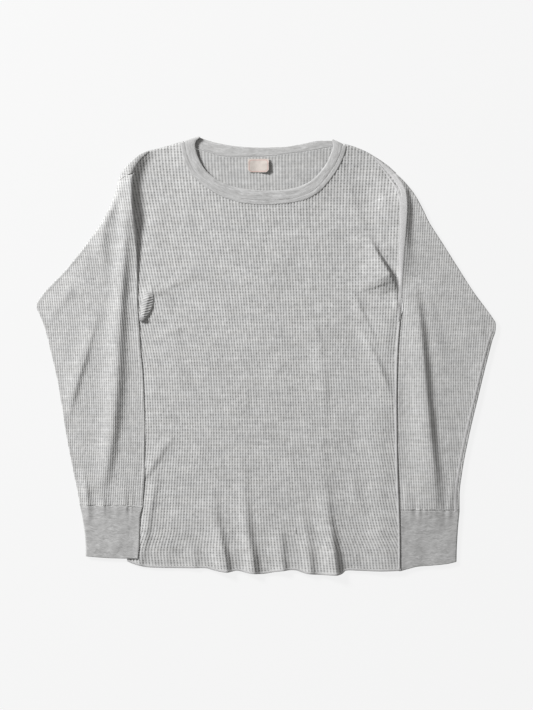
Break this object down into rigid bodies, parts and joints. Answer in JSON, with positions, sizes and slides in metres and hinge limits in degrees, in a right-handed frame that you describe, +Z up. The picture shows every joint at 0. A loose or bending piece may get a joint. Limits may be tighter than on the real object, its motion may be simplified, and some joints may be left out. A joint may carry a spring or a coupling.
{
  "type": "thermal top",
  "caption": "Long-sleeved crew-neck waffle-knit thermal top with smooth rib neckband and cuffs, lying face up and flat, sleeves brought down along its sides.",
  "frame": {"origin": "on the surface that the top lies on, under the middle of its bounding box", "axes": "+Z up from the surface, +Y from the hem towards the neck, +X from the centre front towards the wearer's left sleeve"},
  "size_m": [0.734, 0.699, 0.0131],
  "materials": {
    "waffle_front": "light-grey heather cotton waffle knit, matt",
    "waffle_back": "light-grey heather cotton waffle knit, matt",
    "waffle_sleeve": "light-grey heather cotton waffle knit, matt",
    "smooth_cuff": "light-grey heather smooth knit, doubled, matt",
    "smooth_neckband": "light-grey heather smooth rib, doubled, matt",
    "woven_label": "off-white woven label with a faint red border, blank"
  },
  "bodies": {
    "root": {"front": "waffle_front", "back": "waffle_back", "sleeve_right": "waffle_sleeve", "sleeve_left": "waffle_sleeve", "cuff_right": "smooth_cuff", "cuff_left": "smooth_cuff", "neckband": "smooth_neckband", "label": "woven_label"}
  },
  "joints": []
}
